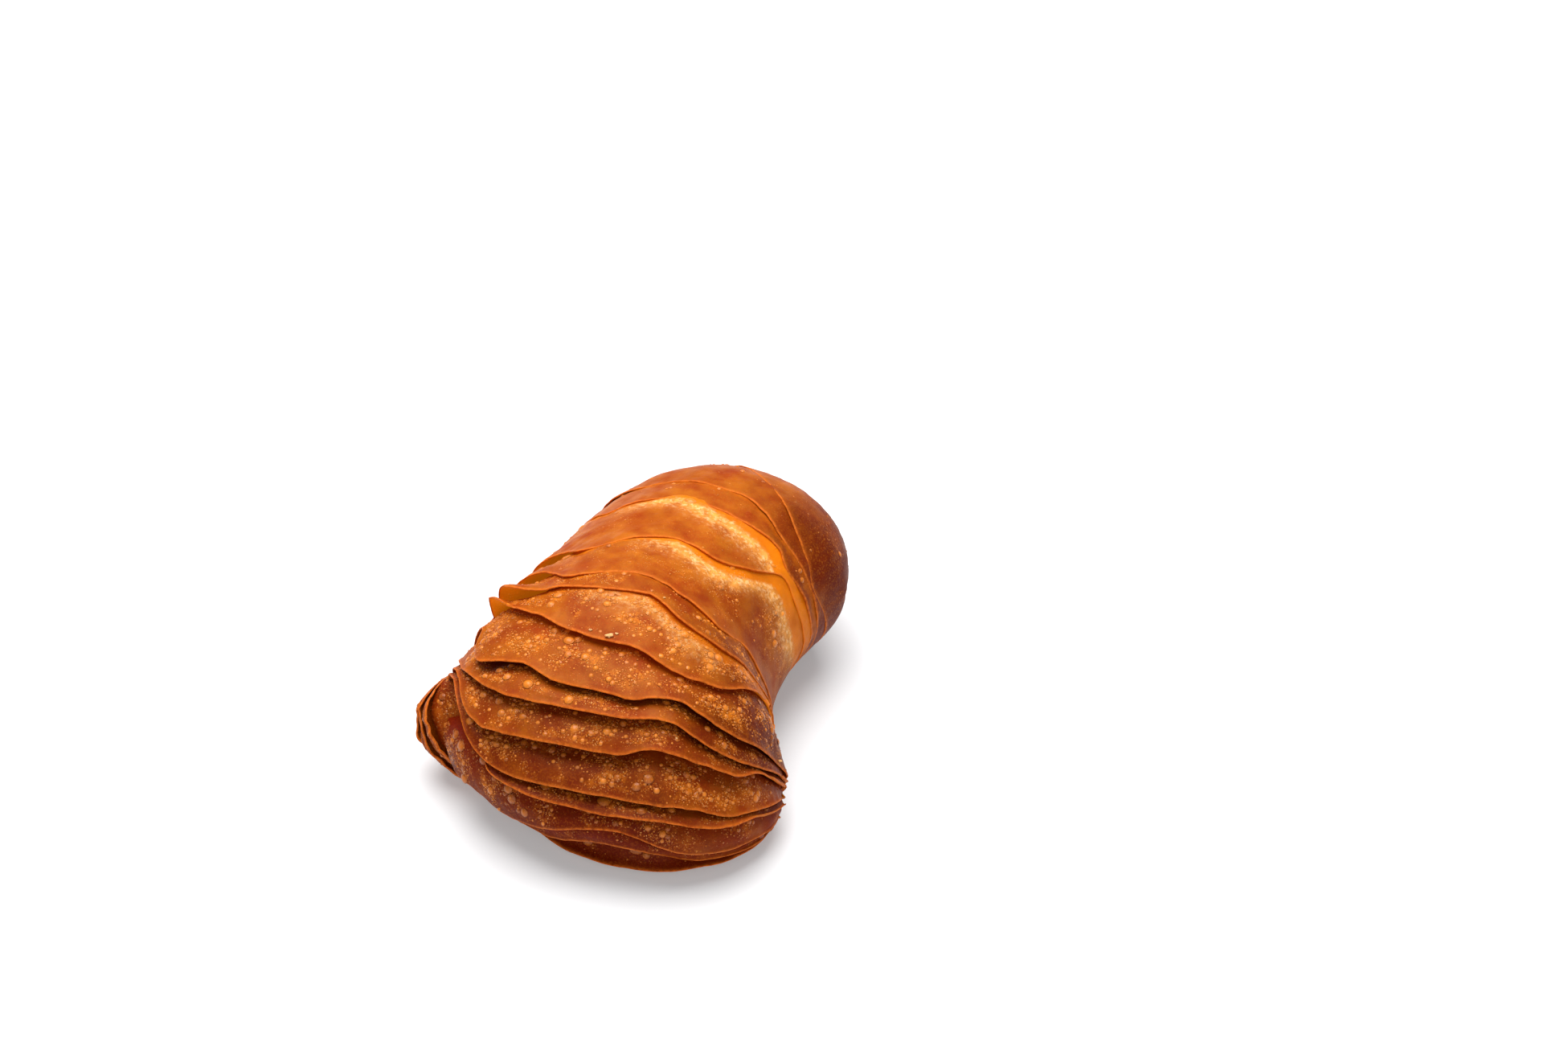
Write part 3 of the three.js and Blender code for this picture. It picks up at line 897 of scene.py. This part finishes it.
@dataclass
class Blisters:
    """Bubbles that the oil raised on the leaves: domes seated on the outer faces."""

    beds: list[Bed]
    median: float = 0.34
    spread: float = 0.5
    seed: int = 5
    # Radius in mm below which a dome has few faces.
    fine_radius: float = 0.4

    def dome(self, segments: int, radii: tuple[float, ...], heights: tuple[float, ...]) -> tuple[Array, list[Array]]:
        """A bell shaped dome of unit radius: rings at the given radii and heights, and an apex.

        Args:
            segments: points round each ring.
            radii: ring radii from the skirt up.
            heights: ring heights.

        Returns:
            Its points, and its faces with the closing face below.
        """
        angle = np.arange(segments) * 2 * np.pi / segments
        ring, level = np.array(radii)[:, None], np.array(heights)[:, None]
        rings = np.stack([ring * np.cos(angle), ring * np.sin(angle), level + 0 * angle], -1).reshape(-1, 3)
        j, n = np.arange(segments), len(rings)
        top = np.stack([n - segments + j, n - segments + (j + 1) % segments, np.full_like(j, n)], -1)
        sides = ring_faces(len(radii), segments, False, True)[:, ::-1]
        return np.concatenate([rings, [[0, 0, 1.0]]]), [sides, top, j[None, ::-1]]

    def scatter(self, bed: Bed, rng: np.random.Generator) -> tuple[Array, ...]:
        """Chooses places for the blisters of a bed by its weight; of two that overlap the smaller goes.

        Diameters follow a lognormal law: most are about the median, and a few are much larger.

        Args:
            bed: the bed.
            rng: source of chance.

        Returns:
            Places, normals, tangents, radii and rows and columns of the seats.
        """
        outer = bed.outer
        side_a = np.linalg.norm(np.diff(outer, axis=0), axis=-1)[:, :-1]
        side_b = np.linalg.norm(np.diff(outer, axis=1), axis=-1)[:-1]
        weight = (side_a * side_b * bed.weight[:-1, :-1]).ravel()
        chosen = rng.choice(len(weight), size=bed.count, p=weight / weight.sum())
        i, j = np.divmod(chosen, outer.shape[1] - 1)
        a, b = rng.random((2, len(i), 1))
        place = outer[i, j] + a * (outer[i + 1, j] - outer[i, j]) + b * (outer[i, j + 1] - outer[i, j])
        size = self.median * np.exp(self.spread * rng.normal(size=len(i)))
        size = np.clip(size, 0.2, bed.largest)
        size[: bed.big] = bed.largest * rng.uniform(0.55, 1.0, min(bed.big, len(i)))
        square = (place**2).sum(-1)
        apart = square[:, None] + square[None] - 2 * place @ place.T
        bigger = size[None] > size[:, None]
        free = ~((apart < (0.45 * (size[None] + size[:, None])) ** 2) & bigger).any(1)
        tangent = unit(outer[i, j + 1] - outer[i, j])
        return place[free], bed.normal[i, j][free], tangent[free], size[free] / 2, i[free], j[free]

    def domes(self, bed: Bed, seats: tuple[Array, ...], rng: np.random.Generator, fine: bool) -> Skin:
        """Puts one dome on each seat, stretched and tinted by chance.

        Args:
            bed: the bed.
            seats: what scatter gives.
            rng: source of chance.
            fine: whether the domes are small, with few faces.

        Returns:
            The skin of all domes.
        """
        place, normal, tangent, radius, i, j = seats
        shape = (6, (1.0, 0.62), (-0.15, 0.66)) if fine else (12, (1.2, 1.0, 0.74, 0.4), (-0.06, 0.12, 0.58, 0.9))
        points, faces = self.dome(*shape)
        count, per = len(place), len(points)
        side = unit(np.cross(normal, tangent))
        tangent = np.cross(side, normal)
        stretch, tall = rng.uniform(0.85, 1.2, (count, 1, 1)), rng.uniform(0.25, 0.6, (count, 1, 1))
        local = points[None] * radius[:, None, None]
        world = place[:, None] + local[..., :1] * tangent[:, None] * stretch
        world = world + local[..., 1:2] * side[:, None] + local[..., 2:] * normal[:, None] * tall
        world[..., 2] = np.maximum(world[..., 2], 0)
        marks = {name: np.repeat(mark[i, j], per) for name, mark in bed.marks.items()}
        lift = 0.3 + 0.7 * np.clip(points[:, 2], 0, 1) ** 0.5
        marks["blister"] = (lift[None] * rng.uniform(0.25, 0.95, (count, 1))).ravel()
        # The domes take less of the painted shade of their seat.
        marks["crevice"] = 0.7 * marks["crevice"]
        start = (np.arange(count) * per)[:, None, None]
        grouped = [(group[None] + start).reshape(-1, group.shape[1]) for group in faces]
        return Skin(world.reshape(-1, 3), grouped, marks).outward()

    def build(self, finish: bpy.types.Material) -> list[bpy.types.Object]:
        """Builds the blisters of each bed as one piece.

        Args:
            finish: crust material.

        Returns:
            The pieces.
        """
        rng = np.random.default_rng(self.seed)
        pieces = []
        for bed in self.beds:
            if not bed.count:
                continue
            seats = self.scatter(bed, rng)
            small = seats[3] < self.fine_radius
            skins = []
            for fine, group in ((True, small), (False, ~small)):
                if group.any():
                    skins.append(self.domes(bed, tuple(part[group] for part in seats), rng, fine))
            pieces.append(make_piece("blisters_" + bed.name, Skin.joined(skins), finish))
        return pieces


# ---- Finishes --------------------------------------------------------------------------------------


def linear(code: str) -> tuple[float, float, float, float]:
    """An sRGB hex colour as linear RGBA.

    Args:
        code: colour such as "#c8641f".

    Returns:
        Linear red, green, blue and alpha 1.
    """
    parts = [int(code[i : i + 2], 16) / 255 for i in (1, 3, 5)]
    r, g, b = (c / 12.92 if c <= 0.04045 else ((c + 0.055) / 1.055) ** 2.4 for c in parts)
    return r, g, b, 1.0


def add(
    tree: bpy.types.NodeTree, kind: str, settings: dict | None = None, inputs: dict | None = None, output: int | str = 0
) -> bpy.types.NodeSocket | None:
    """Adds a node with its settings and links.

    Args:
        tree: node tree.
        kind: node type.
        settings: properties of the node.
        inputs: socket name or number to a value, or to the socket that feeds it.
        output: name or number of the output wanted.

    Returns:
        That output, if the node has one.
    """
    node = tree.nodes.new(kind)
    for name, value in (settings or {}).items():
        setattr(node, name, value)
    for name, value in (inputs or {}).items():
        if isinstance(value, bpy.types.NodeSocket):
            tree.links.new(value, node.inputs[name])
        else:
            node.inputs[name].default_value = value
    return node.outputs[output] if node.outputs else None


def blank(name: str) -> tuple[bpy.types.Material, bpy.types.NodeTree]:
    """A new material with an empty node tree, and that tree."""
    material = bpy.data.materials.new(name)
    material.use_nodes = True
    material.node_tree.nodes.clear()
    return material, material.node_tree


@dataclass(frozen=True)
class CrustFinish:
    """Laminated dough brushed with fat and baked deep brown: satin, thin and a little translucent."""

    name: str = "baked_laminated_crust"
    tan: str = "#bc6614"
    russet: str = "#9c3b06"
    deep: str = "#5c1900"
    # Colour of the painted shade below the rims.
    dark: str = "#701500"
    pale: str = "#eca24c"
    # Colour of the pale crust grains, and of the painted glints on the fried zones.
    chalk_and_glint: str = "#f8d29a"
    # Colour of the painted light that comes through thin dough; the emission takes it too.
    glow: str = "#e07a0a"
    dome: str = "#e08428"
    # Colour of the painted highlight along the rims.
    rim_highlight: str = "#d87224"
    gold: str = "#d97a1a"
    roughness: tuple[float, float] = (0.42, 0.6)
    gloss: float = 0.08
    dome_share: float = 0.8
    softness: float = 0.25
    # Constant emission, a stand-in for light that comes through thin dough to the
    # inner face of a leaf. It doesn't depend on the lamps.
    lit: float = 0.0
    # Noises: name, width of a feature in mm, detail, roughness.
    noises: tuple[tuple[str, float, float, float], ...] = (
        ("broad", 16, 2, 0.5),
        ("mottle", 6.5, 4, 0.5),
        ("blotch", 2.4, 4, 0.65),
        ("grain", 1.1, 3, 0.6),
        ("speck", 0.5, 2, 0.6),
    )

    def layers(self) -> tuple[tuple[str, str, tuple[float, ...], str], ...]:
        """Layers of colour: mark, pattern, its range with the strengths at both ends, and colour."""
        return (
            # Deep brown by the toast mark: the browning of the bake and painted shade together.
            ("toast", "broad", (0.3, 0.7, 0.8, 1.2), self.deep),
            ("toast", "speck", (0.5, 0.68, 0.0, 0.2), self.gold),
            ("fried", "blotch", (0.48, 0.66, 0.0, 0.7), self.gold),
            ("fried", "speck", (0.52, 0.66, 0.0, 0.4), self.dome),
            # Painted light that comes through the thin dough.
            ("glow", "mottle", (0.3, 0.7, 1.0, 0.55), self.glow),
            ("pale", "blotch", (0.32, 0.62, 0.3, 1.0), self.pale),
            ("pale", "grain", (0.48, 0.7, 0.0, 0.85), self.chalk_and_glint),
            ("fried", "pins", (0.34, 0.14, 0.0, 0.8), self.dome),
            # Pale pin dots: painted glints on the fried zones.
            ("fried", "pins", (0.22, 0.1, 0.0, 0.7), self.chalk_and_glint),
            ("blister", "mottle", (0.0, 1.0, self.dome_share, self.dome_share), self.dome),
            # Painted shade below the rims.
            ("crevice", "mottle", (0.3, 0.7, 0.95, 0.8), self.dark),
            # Painted highlight along the rims.
            ("rim", "grain", (0.3, 0.6, 0.2, 0.7), self.rim_highlight),
        )

    def build(self) -> bpy.types.Material:
        """Builds the material.

        The colour starts as tan turned to russet by a noise. Each layer then mixes in its colour
        by the product of its mark on the mesh and its pattern, mapped from its range.

        Returns:
            The material.
        """
        material, tree = blank(self.name)
        place = add(tree, "ShaderNodeTexCoord", output="Object")
        # Object coordinates in mm, so that each scale below is one over a length in mm.
        mm = add(tree, "ShaderNodeMapping", {}, {"Vector": place, "Scale": (1000, 1000, 1000)})
        patterns = {}
        for name, width, detail, rough in self.noises:
            inputs = {"Vector": mm, "Scale": 1 / width, "Detail": detail, "Roughness": rough}
            patterns[name] = add(tree, "ShaderNodeTexNoise", {}, inputs, "Fac")
        # Pin blisters, 0.3 mm across and 0.7 mm apart, too many to build one by one.
        patterns["pins"] = add(tree, "ShaderNodeTexVoronoi", {}, {"Vector": mm, "Scale": 1 / 0.7}, "Distance")
        inputs = {"Value": patterns["mottle"], "From Min": 0.35, "From Max": 0.68}
        share = add(tree, "ShaderNodeMapRange", {}, inputs)
        inputs = {0: share, 6: linear(self.tan), 7: linear(self.russet)}
        colour = add(tree, "ShaderNodeMix", {"data_type": "RGBA"}, inputs, 2)
        height = patterns["grain"]
        for mark, pattern, (low, high, least, most), code in self.layers():
            amount = add(tree, "ShaderNodeAttribute", {"attribute_name": mark}, {}, "Fac")
            inputs = {"Value": patterns[pattern], "From Min": low, "From Max": high, "To Min": least, "To Max": most}
            share = add(tree, "ShaderNodeMapRange", {}, inputs)
            factor = add(tree, "ShaderNodeMath", {"operation": "MULTIPLY", "use_clamp": True}, {0: amount, 1: share})
            inputs = {0: factor, 6: colour, 7: linear(code)}
            colour = add(tree, "ShaderNodeMix", {"data_type": "RGBA"}, inputs, 2)
            if pattern == "pins" and code == self.dome:
                height = add(tree, "ShaderNodeMath", {"operation": "MULTIPLY_ADD"}, {0: factor, 1: 1.6, 2: height})
            if mark == "pale" and pattern == "grain":
                height = add(tree, "ShaderNodeMath", {"operation": "MULTIPLY_ADD"}, {0: factor, 1: 1.0, 2: height})
        low, high = self.roughness
        inputs = {"Value": patterns["mottle"], "From Min": 0.3, "From Max": 0.7, "To Min": low, "To Max": high}
        roughness = add(tree, "ShaderNodeMapRange", {}, inputs)
        bump = add(tree, "ShaderNodeBump", {}, {"Strength": 0.6, "Distance": 0.00022, "Height": height})
        inputs = {
            "Base Color": colour,
            "Roughness": roughness,
            "Normal": bump,
            "IOR": 1.45,
            "Specular IOR Level": self.gloss,
            "Subsurface Weight": self.softness,
            "Subsurface Radius": (1.0, 0.45, 0.15),
            "Subsurface Scale": 0.0012,
            "Emission Color": linear(self.glow),
            "Emission Strength": self.lit,
        }
        shader = add(tree, "ShaderNodeBsdfPrincipled", {}, inputs)
        add(tree, "ShaderNodeOutputMaterial", {}, {"Surface": shader})
        return material


@dataclass(frozen=True)
class CrumbFinish:
    """A dry flake of pale crumb: matt, with fine open pores."""

    name: str = "dry_pale_crumb"
    light: str = "#f1c98f"
    dark: str = "#cf8a43"

    def build(self) -> bpy.types.Material:
        """Builds the material: two colours mixed by a fine noise, which also makes its pores."""
        material, tree = blank(self.name)
        place = add(tree, "ShaderNodeTexCoord", output="Object")
        pores = add(tree, "ShaderNodeTexNoise", {}, {"Vector": place, "Scale": 1 / (0.3 * MM), "Detail": 3.0}, "Fac")
        inputs = {0: pores, 6: linear(self.dark), 7: linear(self.light)}
        colour = add(tree, "ShaderNodeMix", {"data_type": "RGBA"}, inputs, 2)
        bump = add(tree, "ShaderNodeBump", {}, {"Strength": 0.6, "Distance": 0.0001, "Height": pores})
        inputs = {"Base Color": colour, "Normal": bump, "Roughness": 0.8}
        shader = add(tree, "ShaderNodeBsdfPrincipled", {}, inputs)
        add(tree, "ShaderNodeOutputMaterial", {}, {"Surface": shader})
        return material


@dataclass(frozen=True)
class FloorFinish:
    """A sheet of opal acrylic on a light table: matt, white and faintly lit from below."""

    name: str = "opal_acrylic_sheet"
    colour: str = "#d2d6dc"
    lit: float = 0.24

    def build(self) -> bpy.types.Material:
        """Builds the material."""
        material, tree = blank(self.name)
        inputs = {
            "Base Color": linear(self.colour),
            "Roughness": 0.9,
            "Specular IOR Level": 0.2,
            "Emission Color": (1, 1, 1, 1),
            "Emission Strength": self.lit,
        }
        shader = add(tree, "ShaderNodeBsdfPrincipled", {}, inputs)
        add(tree, "ShaderNodeOutputMaterial", {}, {"Surface": shader})
        return material


# ---- Studio -----------------------------------------------------------------------------------------


class Light(Enum):
    """The lamps of the studio: name, place in mm, size in mm, power in W and colour."""

    KEY = ("key_softbox", (-130, 150, 905), 1000, 16.5, "#fffaf4")
    FILL = ("front_card", (230, -560, 260), 700, 1.4, "#fff6ee")


@dataclass
class Studio:
    """Floor, lamps and camera."""

    target: tuple[float, float, float] = (3.446, -13.326, 22)
    azimuth: float = 25
    elevation: float = 40
    distance: float = 921
    surroundings: float = 0.25
    floor_half: float = 1.5
    lens: float = 85
    image: tuple[int, int] = (1951, 1301)
    # Place of the target in the image, as shares of its width and height from the top left.
    target_at: tuple[float, float] = (0.41, 0.6533)

    def floor(self) -> bpy.types.Object:
        """A flat sheet three metres across, just below the resting face."""
        mesh = bpy.data.meshes.new("floor")
        r = self.floor_half
        mesh.from_pydata([(-r, -r, -0.0001), (r, -r, -0.0001), (r, r, -0.0001), (-r, r, -0.0001)], [], [(0, 1, 2, 3)])
        mesh.materials.append(FloorFinish().build())
        board = bpy.data.objects.new("floor", mesh)
        bpy.context.scene.collection.objects.link(board)
        return board

    def lamps(self) -> None:
        """Adds the lamps, aimed at the pastry, and the pale surroundings."""
        for lamp in Light:
            name, place, size, power, colour = lamp.value
            data = bpy.data.lights.new(name, "AREA")
            data.shape, data.size = "DISK", size * MM
            data.energy, data.color = power, linear(colour)[:3]
            obj = bpy.data.objects.new(name, data)
            obj.location = Vector(place) * MM
            obj.rotation_euler = (Vector((0, 0, 0.02)) - obj.location).to_track_quat("-Z", "Y").to_euler()
            bpy.context.scene.collection.objects.link(obj)
        world = bpy.data.worlds.new("pale_surroundings")
        world.use_nodes = True
        back = world.node_tree.nodes["Background"]
        back.inputs["Color"].default_value = (1, 1, 1, 1)
        back.inputs["Strength"].default_value = self.surroundings
        bpy.context.scene.world = world

    def camera(self) -> bpy.types.Object:
        """Adds the camera, turned so that the target stands at its place in the image.

        The forward direction is turned, step by step, until the target projects there.

        Returns:
            The camera.
        """
        az, el = math.radians(self.azimuth), math.radians(self.elevation)
        back = Vector((math.sin(az) * math.cos(el), -math.cos(az) * math.cos(el), math.sin(el)))
        target = Vector(self.target) * MM
        place = target + back * self.distance * MM
        # Image lengths are shares of its width.
        focal, height = self.lens / 36, self.image[1] / self.image[0]
        forward = -back
        for _ in range(20):
            right = forward.cross(Vector((0, 0, 1))).normalized()
            up = right.cross(forward)
            to = target - place
            x = 0.5 + focal * to.dot(right) / to.dot(forward)
            y = 0.5 * height - focal * to.dot(up) / to.dot(forward)
            dx, dy = self.target_at[0] - x, self.target_at[1] * height - y
            forward = (forward - right * dx / focal + up * dy / focal).normalized()
        data = bpy.data.cameras.new("camera")
        data.lens, data.sensor_width = self.lens, 36
        data.clip_start, data.clip_end = 0.01, 20
        camera = bpy.data.objects.new("camera", data)
        camera.location = place
        camera.rotation_euler = forward.to_track_quat("-Z", "Y").to_euler()
        bpy.context.scene.collection.objects.link(camera)
        bpy.context.scene.camera = camera
        return camera

    def build(self) -> None:
        """Builds the whole studio."""
        self.floor()
        self.lamps()
        self.camera()
        bpy.context.scene.view_settings.view_transform = "Standard"
        LOG.info("studio ready")


def main() -> None:
    """Builds the pastry piece by piece, then the studio."""
    logging.basicConfig(level=logging.INFO, format="%(name)s: %(message)s")
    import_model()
    form = ShellForm()
    crust = CrustFinish().build()
    stack = LeafStack(form)
    # The inner faces of the lined leaves glow by a constant emission: painted light that comes through the thin dough.
    stack.build(crust, CrustFinish("sunlit_leaf_lining", lit=0.35).build())
    InnerDough(form).build(crust)
    lobe = FoldedLobe(form)
    lobe.build(crust)
    # Thin skins that the hot oil raised: smoother and glossier than the leaves.
    skins = CrustFinish("oil_raised_blisters", roughness=(0.24, 0.38), gloss=0.35, dome_share=1.0, softness=0.0)
    Blisters(stack.beds + lobe.beds).build(skins.build())
    Crumbs(stack).build(CrumbFinish().build())
    Studio().build()


if __name__ == "__main__":
    main()
